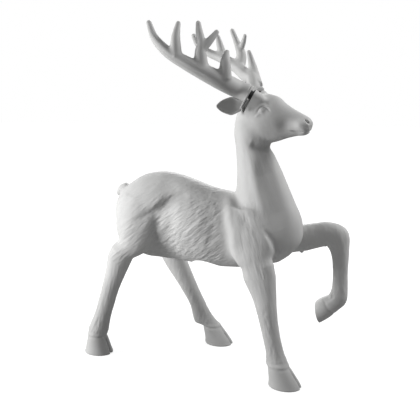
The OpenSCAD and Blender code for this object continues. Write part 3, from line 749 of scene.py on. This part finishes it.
def moulded_plastic(name, colour, fleck=0.045, rough=0.55, lays=(37, 107), hair=0.006, foot_shade=1.0):
    """Matte plastic: a faint cloudy tone, painted shade in the hollows, coat in fine streaks and the grain of
    the mould.
    Its tone falls at the foot of the figure as painted shade, to the share that the last argument gives."""
    material, tree, surface, place = finish_of(name)
    parts = wired(tree, "ShaderNodeSeparateXYZ", {"Vector": place}).outputs
    cloud = noise(tree, place, 14, 5)
    fleck_tone = spread(tree, cloud, 0.3, 0.7, 1 - fleck, 1 + fleck)
    # Painted shade in the hollows: the deeper they are, the darker the tone
    depth = wired(tree, "ShaderNodeAttribute", {}, attribute_name="hollow").outputs["Fac"]
    painted_shade_tone = spread(tree, depth, 0, 8, 1, 0.80)
    # Painted shade: the tone falls towards the foot of the figure
    foot_shade_tone = spread(tree, parts["Z"], 0.15, 0.36, foot_shade, 1)
    tone = times(tree, times(tree, fleck_tone, painted_shade_tone), foot_shade_tone)
    tree.links.new(tinted(tree, colour, tone), surface["Base Color"])
    tree.links.new(spread(tree, cloud, 0, 1, rough - 0.07, rough + 0.07), surface["Roughness"])
    surface["IOR"].default_value = 1.5
    surface["Specular IOR Level"].default_value = 0.25
    mould_grain = bump(tree, noise(tree, place, 420, 3), 0.25, 0.0006)
    # The streaks turn from the lay of the flank to the lay of the breast along the animal
    on_flank, on_breast = [streaks(tree, place, lay, 0.08, 0.012) for lay in lays]
    ahead = spread(tree, parts["X"], 0.06, 0.13, 0, 1, "SMOOTHSTEP")
    hairs = wired(tree, "ShaderNodeMix", {"Factor": ahead, "A": on_flank, "B": on_breast}).outputs["Result"]
    coat = wired(tree, "ShaderNodeAttribute", {}, attribute_name="coat").outputs["Fac"]
    tree.links.new(bump(tree, times(tree, hairs, coat), 1, hair, mould_grain), surface["Normal"])
    return material


def dress(piece, material, body_name, *nodes_replaced):
    """Gives a finished piece its material, its body and the nodes that it stands for."""
    piece.data.materials.clear()
    piece.data.materials.append(material)
    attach(piece, body_name)
    for node in nodes_replaced:
        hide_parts(node)


GREY = (0.60, 0.60, 0.595)
coat_plastic = moulded_plastic("coat grey polyethylene", GREY)
dress(right_body, coat_plastic, "figure", "right_body_shell")
dress(left_body, coat_plastic, "figure", "left_body_shell")

# Body screws: six long pan head screws of zinc plated steel, cross recessed, driven from the left half
# into bosses of the right half. Their heads sit deep in round holes.
HEAD_R, HEAD_H, SHANK_R, PITCH = 4.5, 3.5, 2.25, 1.6


def screw_mesh(name, length):
    """A pan head screw that points down, its head's underside at the origin."""
    turn = np.arange(32) * 2 * math.pi / 32

    def ring(radius, z):
        return np.stack([radius * np.cos(turn), radius * np.sin(turn), 0 * turn + z], 1)

    rings = []
    for z in np.arange(-length, 0, PITCH / 4):
        wave = (z / PITCH - turn / (2 * math.pi)) % 1
        taper = min(1, 0.35 + (z + length) / 4)
        rings.append(ring((SHANK_R - 0.5 * np.abs(2 * wave - 1)) * taper, z))
    pan = [(SHANK_R, 0), (HEAD_R, 0), (HEAD_R, 1.4), (4.3, 2.2), (3.7, 2.9), (2.6, 3.35), (1.2, HEAD_H)]
    rings += [ring(radius, z) for radius, z in pan]
    screw = new_piece(name, [tube(rings)])
    for half_x, half_y in ((2.5, 0.55), (0.55, 2.5)):
        corners = np.array([(-half_x, -half_y), (half_x, -half_y), (half_x, half_y), (-half_x, half_y)])
        slot = tube([np.column_stack([corners * share, np.full(4, z)]) for z, share in ((1.7, 0.8), (5, 1))])
        combined(screw, [slot])
    screw.data.transform(Matrix.Translation(ZERO_LINE / 1000))
    creased(screw, 35)
    return screw


def screw_tree():
    """Geometry nodes that set one screw on each point, along the point's way and at a chance turn."""
    tree = bpy.data.node_groups.new("screws at places", "GeometryNodeTree")
    sockets = (("Geometry", "NodeSocketGeometry"), ("Screw", "NodeSocketObject"), ("Seed", "NodeSocketInt"),
               ("Finish", "NodeSocketMaterial"))
    for name, kind in sockets:
        tree.interface.new_socket(name, in_out="INPUT", socket_type=kind)
    tree.interface.new_socket("Geometry", in_out="OUTPUT", socket_type="NodeSocketGeometry")
    given = wired(tree, "NodeGroupInput", {}).outputs
    pattern = wired(tree, "GeometryNodeObjectInfo", {"Object": given["Screw"]})
    way = wired(tree, "GeometryNodeInputNamedAttribute", {"Name": "way"}, data_type="FLOAT_VECTOR")
    upright = wired(tree, "FunctionNodeAlignRotationToVector", {"Vector": way.outputs["Attribute"]}, axis="Z")
    chance = wired(tree, "FunctionNodeRandomValue", {3: math.pi, "Seed": given["Seed"]}, data_type="FLOAT")
    twist = wired(tree, "FunctionNodeAxisAngleToRotation", {"Angle": chance.outputs[1]})
    turned = wired(tree, "FunctionNodeRotateRotation", {
        "Rotation": upright.outputs["Rotation"],
        "Rotate By": twist.outputs["Rotation"],
    }, rotation_space="LOCAL")
    placed = wired(tree, "GeometryNodeInstanceOnPoints", {
        "Points": given["Geometry"],
        "Instance": pattern.outputs["Geometry"],
        "Rotation": turned.outputs["Rotation"],
    })
    real = wired(tree, "GeometryNodeRealizeInstances", {"Geometry": placed.outputs["Instances"]})
    finished = wired(tree, "GeometryNodeSetMaterial", {
        "Geometry": real.outputs["Geometry"],
        "Material": given["Finish"],
    })
    wired(tree, "NodeGroupOutput", {"Geometry": finished.outputs["Geometry"]})
    return tree


def screws(name, length, places, seed, node):
    """A set of screws, each at a place with the way its head faces."""
    pattern = screw_mesh("screw pattern", length)
    mesh = bpy.data.meshes.new(name)
    mesh.from_pydata([tuple((np.array(place, float) - ZERO_LINE) / 1000) for place, _ in places], [], [])
    ways = mesh.attributes.new("way", "FLOAT_VECTOR", "POINT")
    ways.data.foreach_set("vector", np.array([way for _, way in places], np.float32).ravel())
    piece = set_out(name, mesh)
    setter = piece.modifiers.new("screws", "NODES")
    setter.node_group = screws_at_places
    sockets = screws_at_places.interface.items_tree
    inputs = {item.name: item.identifier for item in sockets if item.in_out == "INPUT"}
    setter[inputs["Screw"]] = pattern
    setter[inputs["Seed"]] = seed
    setter[inputs["Finish"]] = zinc
    baked(piece)
    bpy.data.meshes.remove(pattern.data)
    dress(piece, zinc, "figure", node)


def metal(name, colour, rough):
    """Plain metal: a mottled bloom in its tone and polish, with fine scratches."""
    material, tree, surface, place = finish_of(name)
    surface["Metallic"].default_value = 1
    bloom = noise(tree, place, 180, 4)
    tree.links.new(tinted(tree, colour, spread(tree, bloom, 0, 1, 0.85, 1.05)), surface["Base Color"])
    tree.links.new(spread(tree, bloom, 0, 1, rough - 0.12, rough + 0.12), surface["Roughness"])
    scratches = bump(tree, streaks(tree, place, 90, 0.02, 0.0006), 0.3, 0.0002)
    tree.links.new(scratches, surface["Normal"])
    return material


zinc = metal("zinc plated steel", (0.62, 0.63, 0.65), 0.38)
screws_at_places = screw_tree()
shell_screw_places = [((x, SHELL_SCREW_Y, z), (0, 1, 0)) for x, z in SHELL_SCREWS]
screws("body_screws_zinc", length=44, places=shell_screw_places, seed=3, node="shell_screws")

# Lower legs: four mouldings of the body's plastic that plug into the upper limbs with an oval spigot and
# stop at a flat shoulder. Each ends in a cloven hoof; the three that stand have a bore for a stake.
FIT_GAP, END_GAP = 0.4, 3
BUSH_HOLE_R, BUSH_HOLE_TOP = 7.4, 45
SOLE_REACH, SOLE_SPREAD = 47, 36.5
RIGHT_HIND_HOOF = (-361, -133, 0.1)
LEFT_HIND_HOOF = (24, 133, 0.7)
RIGHT_FORE_HOOF = (371, -120, 0.55)


def hoof(x, y, lean):
    """Pastern, coronet, flared wall and sole of a standing hoof, as oval cuts."""
    return [
        [x - lean * 46, y, 70, -90, 36, 31],
        [x - lean * 36, y, 58, -90, 39, 35],
        [x - lean * 10, y, 22, -90, 50, 41],
        [x - lean * 1, y, 3, -90, 56, 45.5],
    ]


def sole(x, y):
    """Rings from the edge of the sole to the bore for the stake, and up the bore."""
    rings = []
    for share in (1, 0.85, 0.65, 0.4, 0):
        half_length = BUSH_HOLE_R + share * SOLE_REACH
        half_width = BUSH_HOLE_R + share * SOLE_SPREAD
        rings.append(oval([x, y, 0, -90, half_length, half_width], 96))
    return [*rings, oval([x, y, BUSH_HOLE_TOP, -90, BUSH_HOLE_R, BUSH_HOLE_R], 96)]


def lower_leg(name, joint, cuts, end_rings):
    """The closed skin of a leg, from the end of its spigot down to the hoof."""
    spigot = grown(joint, -WALL - FIT_GAP)
    plug = [oval(slid(spigot, -SPIGOT + END_GAP), 96), oval(spigot, 96)]
    skin = [oval(cut, 96) for cut in faired([joint, *cuts], 16)]
    return new_piece(name, [tube([*plug, *skin, *end_rings])])


right_hind = lower_leg("right_hind_lower_leg", RIGHT_HIND_JOINT, [
    [-291, -112, 316, -108, 39, 29],
    [-313, -117, 250, -108, 33, 26],
    [-342, -123, 155, -107, 32, 25],
    [-359, -128, 97, -105, 37, 30],
    *hoof(*RIGHT_HIND_HOOF),
], sole(*RIGHT_HIND_HOOF[:2]))
left_hind = lower_leg("left_hind_lower_leg", LEFT_HIND_JOINT, [
    [-145, 105, 312, -64, 44, 31],
    [-101, 111, 232, -62, 34, 27],
    [-66, 118, 162, -62, 30, 26],
    [-42, 127, 95, -66, 39, 29],
    *hoof(*LEFT_HIND_HOOF),
], sole(*LEFT_HIND_HOOF[:2]))
right_fore = lower_leg("right_fore_lower_leg", RIGHT_FORE_JOINT, [
    [285, -96, 296, -77, 43, 30],
    [297, -101, 246, -77, 35, 29],
    [313, -107, 178, -76, 30, 25],
    [332, -113, 108, -76, 30, 26],
    [338, -115, 84, -78, 35, 29],
    *hoof(*RIGHT_FORE_HOOF),
], sole(*RIGHT_FORE_HOOF[:2]))
left_fore = lower_leg("left_fore_lower_leg", LEFT_FORE_JOINT, [
    [416, 86, 478, 10, 44, 31],
    [450, 87, 484, -8, 44, 31],
    [485, 88, 472, -48, 45, 31],
    [497, 88, 422, -80, 31, 28],
    [500, 88, 358, -90, 26, 25],
    [501, 88, 300, -94, 27, 25],
    [496, 88, 263, -120, 32, 28],
    [476, 88, 238, -138, 31, 29],
    [449, 88, 217, -152, 37, 35],
    [427, 88, 200, -166, 39, 37],
], [])


def leg_coat(points):
    """The coat ends where the horn of the hoof begins, and is fainter towards the joint."""
    return 0.5 * between(points[:, 2], 74, 90) * (1 - 0.4 * between(points[:, 2], 270, 330))


def leg_strokes(points):
    """Strokes are combed into the coat of a standing leg up to the knee or hock."""
    return leg_coat(points) * (1 - between(points[:, 2], 220, 300))


def leg_lay(points):
    """The coat of the lower legs lies down."""
    return points * 0 + (0.1, 0, -1)


def round_leg(station):
    """A line right round a leg at an oval cut."""
    ring = oval(station, 24)
    return [*ring, ring[0]]


standing = [(right_hind, RIGHT_HIND_HOOF), (left_hind, LEFT_HIND_HOOF), (right_fore, RIGHT_FORE_HOOF)]
for leg, (x, y, lean) in standing:
    clay = Clay(leg.data)
    # Hair ends in a lip over the horn, which is cloven in front and has two small claws behind
    clay.press(round_leg([x - lean * 41, y, 65, -90, 38, 34]), 5, 1.0, 0)
    clay.press(round_leg([x - lean * 46, y, 72, -90, 36, 31]), 8, -1.8, 0)
    front = x - lean * 36 + 39
    cleft = [(front - 6, 66), (front + 2, 50), (x + 46, 24), (x + 56, 4), (x + 50, 0), (x + 24, 0)]
    clay.press([(ahead, y, high) for ahead, high in cleft], 4.2, 9, 0.15)
    for claw in (-13, 13):
        clay.swell((x - lean * 62 - 33, y + claw, 94), 10, 4)
    clay.comb(leg_strokes, leg_lay, count=420, length=34, width=5, depth=0.9, seed=4)
    clay.points[:, 2] = np.maximum(clay.points[:, 2], 0)
    clay.finish(leg_coat(clay.points))


def raised_leg_coat(points):
    """The coat of the raised leg ends over its hoof."""
    return 0.4 * between(points[:, 2], 245, 270)


def raised_leg_strokes(points):
    """Strokes are combed in ahead of the joint."""
    return raised_leg_coat(points) * between(points[:, 0], 420, 470)


# The raised hoof shows its cleft at the tip and between the heels
clay = Clay(left_fore.data)
cleft = [(470, 88, 200), (440, 88, 168), (415, 88, 163), (395, 88, 190), (400, 88, 222), (420, 88, 240)]
clay.press(cleft, 4.2, 8, 0.15)
clay.press(round_leg([466, 88, 229, -145, 33, 31]), 5, 1.4, 0)
# Its two small claws lie over the heel, with a fold between them and the pastern
for claw in (-13, 13):
    clay.swell((448, 88 + claw, 258), 11, 5)
clay.press([(446, 60, 240), (462, 58, 254), (478, 60, 268), (482, 88, 282), (478, 116, 268)], 6, 4)
clay.comb(raised_leg_strokes, leg_lay, count=260, length=34, width=5, depth=0.8, seed=4)
clay.finish(raised_leg_coat(clay.points))

# The legs' plastic is painted darker towards the ground, as shade
leg_plastic = moulded_plastic("coat grey polyethylene of the legs", GREY, lays=(75, 105), foot_shade=0.82)
for leg, node in ((right_hind, "right_hind_leg"), (left_hind, "left_hind_leg"),
                  (right_fore, "right_foreleg"), (left_fore, "left_foreleg")):
    creased(leg)
    dress(leg, leg_plastic, "figure", node)

# Leg screws: one short pan head screw of the same zinc plated steel for each leg. It is driven through
# the pad on the limb, from the inner side or on the raised leg from below, into the spigot behind it.
screws("leg_screws_zinc", length=16, places=leg_screw_places, seed=5, node="leg_screws")

# Stake bushes: tubes of drawn steel pressed into the soles of the three standing hooves. The figure is
# slipped over ground stakes with them. They keep the shape of their nodes.
drawn_steel = metal("drawn steel tube", (0.52, 0.53, 0.55), 0.45)


def finish_node(node, material):
    """Gives a node that keeps its own shape its material."""
    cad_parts[node].data.materials.clear()
    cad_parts[node].data.materials.append(material)


for leg in ("right_hind", "left_hind", "right_fore"):
    finish_node(leg + "_stake_bush", drawn_steel)

# Antler sockets and pegs: turned pieces, given black plastic as painted shade. A flanged socket is let into
# each side of the head, and the collared peg of the antler slides in it. Both show only in the gap under the
# foot plate, and their black stands in for the shade in that gap.
black_plastic_and_gap_shade = moulded_plastic("black plastic", (0.03, 0.03, 0.032), rough=0.4)
for node in ("right_antler_socket", "left_antler_socket", "right_antler_peg", "left_antler_peg"):
    finish_node(node, black_plastic_and_gap_shade)

# Antlers: a beam with five rounded points on an egg shaped foot plate, moulded in one. A peg in the foot
# plugs into the socket in the head, so antler and ear lift off together. The two are not twins.
SEAT_GAP, PLATE, PLATE_EDGE, RISE = 9, 6, 0.8, 240
FOOT_R, EAR_SIDE_R, PEG_HOLE_R = 29, 20, 10.4
ANTLER_GRAIN = 2.6
DARKER_GREY = (0.54, 0.54, 0.535)
smooth_plastic = moulded_plastic("smooth grey polyethylene", DARKER_GREY)


def on_axis(distance, radius):
    """A station on the antler's axis, above its foot."""
    return [*(SEAT + ANTLER_AXIS * (SEAT_GAP + distance)), radius]


def risen(stations):
    """Stations given as x, y, per cent of the antler's rise and radius, with their true heights."""
    return [[x, y, SEAT[2] + RISE * share / 100, radius] for x, y, share, radius in stations]


right_beam = [on_axis(3, 29), *risen([
    [167, -56, 9, 30],
    [133, -107, 18.8, 30],
    [90, -144, 29.4, 26.5],
    [35, -174, 42.5, 22],
    [-21, -187, 56.7, 18],
    [-69, -182, 75, 14],
    [-99, -167, 96.7, 9],
])]
right_points = [
    [[147, -112, 21.7, 22], [150, -118, 43.8, 16], [149, -102, 56.7, 8]],
    [[82, -148, 30.8, 24], [79, -153, 54.2, 19], [81, -150, 66.7, 15], [71, -144, 81.7, 12],
     [64, -137, 94.2, 8]],
    [[82, -153, 58.8, 15], [105, -137, 71.3, 12], [122, -123, 82, 8]],
    [[8, -184, 48.3, 20], [4, -179, 73.8, 15], [6, -164, 93.6, 8]],
]
mirror_y = np.array([1, -1, 1, 1])
left_beam = [on_axis(5, 27) * mirror_y, on_axis(23, 24) * mirror_y, *risen([
    [170, 80, 25, 20],
    [136, 112, 30.8, 23],
    [84, 148, 45, 22],
    [16, 173, 59.2, 18],
    [-38, 180, 68.3, 15],
    [-81, 177, 80.4, 12],
    [-97, 166, 95, 9],
])]
left_points = [
    [[188, 72, 15, 23], [172, 100, 27, 20], [158, 113, 44.6, 14.5], [149, 100, 63.8, 8]],
    [[93, 154, 45, 21], [97, 161, 62.1, 18.5], [88, 155, 75, 13.5], [77, 149, 87.5, 10.5],
     [69, 140, 97.9, 8]],
    [[94, 158, 70.8, 13], [111, 144, 80.8, 9.5], [123, 128, 88.8, 6.5]],
    [[13, 188, 62.9, 17], [5, 180, 78.3, 13.5], [3, 162, 91.7, 8]],
]
plate_steps = [
    (SEAT_GAP, PLATE_EDGE),
    (SEAT_GAP + PLATE_EDGE, 0),
    (SEAT_GAP + PLATE - PLATE_EDGE, 0),
    (SEAT_GAP + PLATE, PLATE_EDGE),
]
plate = tube([foot_outline(height, FOOT_R - inset, EAR_SIDE_R - inset) for height, inset in plate_steps])
peg_hole = axis_bar(PEG_HOLE_R, SEAT_GAP - 10, SEAT_GAP + 19)
under_foot = axis_bar(80, SEAT_GAP - 50, SEAT_GAP + PLATE_EDGE)


def antler(name, beam, points, own_side):
    """An antler's branches merged and filleted, cut off flat at the foot, with its plate and peg hole."""
    branches = [branch(beam, 10, 56), *[branch(risen(point)) for point in points]]
    piece = merged(name, branches, ANTLER_GRAIN)
    clay = Clay(piece.data)
    clay.smooth(3)
    clay.fillet(30)
    clay.smooth(4)
    # Shallow furrows run along the beam
    places = np.array(beam, float)[1:]
    outer = 1 if places[0, 1] < 0 else -1
    for shift in ((0, -0.5, 0.8), (0, -0.9, -0.3), (0, 0.6, 0.7)):
        furrow = places[:, :3] + places[:, 3:] * np.array(shift) * (1, outer, 1)
        clay.press(furrow, 4.5, 1.4)
    clay.finish()
    combined(piece, [own_side(under_foot)])
    combined(piece, [own_side(plate)], "UNION")
    combined(piece, [own_side(peg_hole)])
    creased(piece)
    return piece


right_antler = antler("right_antler_moulding", right_beam, right_points, lambda solid: solid)
left_antler = antler("left_antler_moulding", left_beam, left_points, mirrored)
dress(right_antler, smooth_plastic, "right_antler_unit", "right_antler")
dress(left_antler, smooth_plastic, "left_antler_unit", "left_antler")

# Ears: cupped leaves of the smooth grey plastic, hollow towards the front and the side. Each is fixed on
# the foot plate of its antler and comes off with it. The left ear is the mirror of the right one.
EAR_LENGTH, EAR_WALL = 85, 5
EAR_WAY = np.array([-0.90, -0.42, -0.01])
EAR_OPEN = np.array([0.42, -0.90, 0])
FROM_PLATE = (-17, -8, -41)
CUP_DEPTH, CUP_SHADE = 14, 12
ear_root = SEAT + ANTLER_AXIS * (SEAT_GAP + PLATE) + FROM_PLATE
ear_cuts = [[0, 15, 12], [0.38, 29, 18], [0.6, 26, 17], [0.82, 18, 12], [0.98, 6.5, 6.5], [1.01, 2, 2]]
arc = np.radians(np.linspace(-90, 90, 41))


def ear_ring(cut):
    """One cut across the ear: the back of the cup, then its inside."""
    share, high, deep = cut
    middle = ear_root + EAR_WAY * EAR_LENGTH * share
    ring = []
    for turns, wall in ((arc, 0), (arc[::-1], min(EAR_WALL, 0.7 * high))):
        for turn in turns:
            rise = np.array([0, 0, 1]) * (high - wall) * math.sin(turn)
            ring.append(middle + rise - EAR_OPEN * (deep - wall) * math.cos(turn))
    return np.array(ring)


ear_rings = [ear_ring(cut) for cut in faired(ear_cuts, 12)]
plate_top = (ear_rings[0] - SEAT) @ ANTLER_AXIS - SEAT_GAP - PLATE
ear_rings[0] = ear_rings[0] - np.outer(plate_top / (EAR_WAY @ ANTLER_AXIS), EAR_WAY)
right_ear = new_piece("right_ear_moulding", [tube(ear_rings)])
clay = Clay(right_ear.data)
clay.smooth(3)
# Painted shade: the floor of the cup is a little darker than its rim
over_floor = (clay.points - ear_root) @ EAR_OPEN + CUP_DEPTH
clay.hollow = np.clip(CUP_SHADE - np.abs(over_floor), 0, CUP_SHADE) * 0.2
clay.finish()
creased(right_ear)
left_ear = set_out("left_ear_moulding", right_ear.data.copy())
left_ear.data.transform(Matrix.Diagonal((1, -1, 1, 1)))
left_ear.data.flip_normals()
dress(right_ear, smooth_plastic, "right_antler_unit", "right_ear")
dress(left_ear, smooth_plastic, "left_antler_unit", "left_ear")

# Belly hatch: a round cover of the grey plastic on a rubber gasket, held to the ledge of the well by four
# short screws. It carries the lamp, which comes out with it. Cover and gasket keep the shape of their nodes.
rubber = moulded_plastic("black rubber", (0.018, 0.018, 0.019), rough=0.75)
finish_node("hatch_gasket", rubber)
finish_node("hatch_cover", smooth_plastic)
COVER_T, GASKET_T = 4, 2
ring_r = (WELL_R + LEDGE_R) / 2
under_cover = LEDGE_Z - GASKET_T - COVER_T
hatch_screw_places = []
for turn in np.radians((45, 135, 225, 315)):
    place = (WELL_X + ring_r * math.cos(turn), ring_r * math.sin(turn), under_cover)
    hatch_screw_places.append((place, (0, 0, -1)))
through = COVER_T + GASKET_T + LEDGE_T
screws("hatch_screws_zinc", length=through, places=hatch_screw_places, seed=8, node="hatch_screws")

# Lamp: a black plastic lampholder fixed to the cover, and in it a bulb with a brass screw cap and a globe
# of opal glass. It is all inside the body, and each piece keeps the shape of its node.
finish_node("lampholder", black_plastic_and_gap_shade)
finish_node("bulb_cap", metal("brass", (0.78, 0.58, 0.27), 0.3))
opal = moulded_plastic("opal glass", (0.86, 0.85, 0.82), fleck=0.015, rough=0.25)
opal.node_tree.nodes["Principled BSDF"].inputs["Transmission Weight"].default_value = 0.35
finish_node("bulb_globe", opal)

# Cable gland: a threaded body, a lock nut inside the cover and a tapered nut outside, of black plastic.
# It is the way out of the hatch cover for the lamp's cable. The pieces keep the shape of their nodes.
for node in ("gland_body", "gland_locknut", "gland_nut"):
    finish_node(node, black_plastic_and_gap_shade)

# Stage: a pale matt floor that fades to white away from the figure, in a white room. A low soft key lamp
# stands to the camera's left, weaker ones to the right and behind. The camera sees the animal's right side.
FLOOR_HALF = 30
LAMP_AIM, LAMP_SIZE = (0, 0, 0.7), 1.0
LOOK_DOWN, LOOK_ROUND = 9.73, 24
floor = set_out("floor", bpy.data.meshes.new("floor"))
floor_corners = [(x * FLOOR_HALF, y * FLOOR_HALF, 0) for x, y in ((-1, -1), (1, -1), (1, 1), (-1, 1))]
floor.data.from_pydata(floor_corners, [], [(0, 1, 2, 3)])


def floor_paint():
    """A grey for the figure's shadow, under a glow that only the camera sees."""
    material, tree, _, place = finish_of("pale floor")
    tree.nodes.remove(tree.nodes["Principled BSDF"])
    matt = wired(tree, "ShaderNodeBsdfDiffuse", {"Color": (0.3, 0.3, 0.3, 1)})
    seen = wired(tree, "ShaderNodeLightPath", {}).outputs["Is Camera Ray"]
    away = wired(tree, "ShaderNodeVectorMath", {0: place}, operation="LENGTH").outputs["Value"]
    fade = spread(tree, away, 0.5, 1.6, 0.84, 1, "SMOOTHSTEP")
    glow = wired(tree, "ShaderNodeEmission", {"Strength": times(tree, seen, fade)})
    total = wired(tree, "ShaderNodeAddShader", {0: matt.outputs["BSDF"], 1: glow.outputs["Emission"]})
    tree.links.new(total.outputs["Shader"], tree.nodes["Material Output"].inputs["Surface"])
    return material


floor.data.materials.append(floor_paint())

world = bpy.data.worlds.new("studio")
bpy.context.scene.world = world
world.use_nodes = True
tree = world.node_tree
room = tree.nodes["Background"].inputs
room["Color"].default_value = (1, 1, 1, 1)
seen = wired(tree, "ShaderNodeLightPath", {}).outputs
white = seen["Is Camera Ray"]
for ray in ("Is Glossy Ray", "Is Transmission Ray"):
    white = wired(tree, "ShaderNodeMath", {0: white, 1: seen[ray]}, operation="MAXIMUM").outputs["Value"]
tree.links.new(spread(tree, white, 0, 1, 0.26, 1), room["Strength"])


def soft_lamp(name, place, power):
    """A square area lamp that faces the figure."""
    lamp = bpy.data.lights.new(name, "AREA")
    lamp.size = LAMP_SIZE
    lamp.energy = power
    holder = set_out(name, lamp)
    holder.location = place
    holder.rotation_euler = (Vector(LAMP_AIM) - Vector(place)).to_track_quat("-Z", "Y").to_euler()


soft_lamp("key left", (-2.51, -1.45, 0.9), 90)
soft_lamp("right", (2.09, 0.76, 2.5), 50)
soft_lamp("back", (-1.0, 2.3, 2.0), 36)

camera = set_out("camera", bpy.data.cameras.new("camera"))
camera.data.lens = 50
camera.data.sensor_width = 36
camera.location = (0.8295, -1.887, 0.909)
camera.rotation_euler = (math.radians(90 - LOOK_DOWN), 0, math.radians(LOOK_ROUND))
bpy.context.scene.camera = camera
bpy.context.scene.view_settings.view_transform = "Standard"
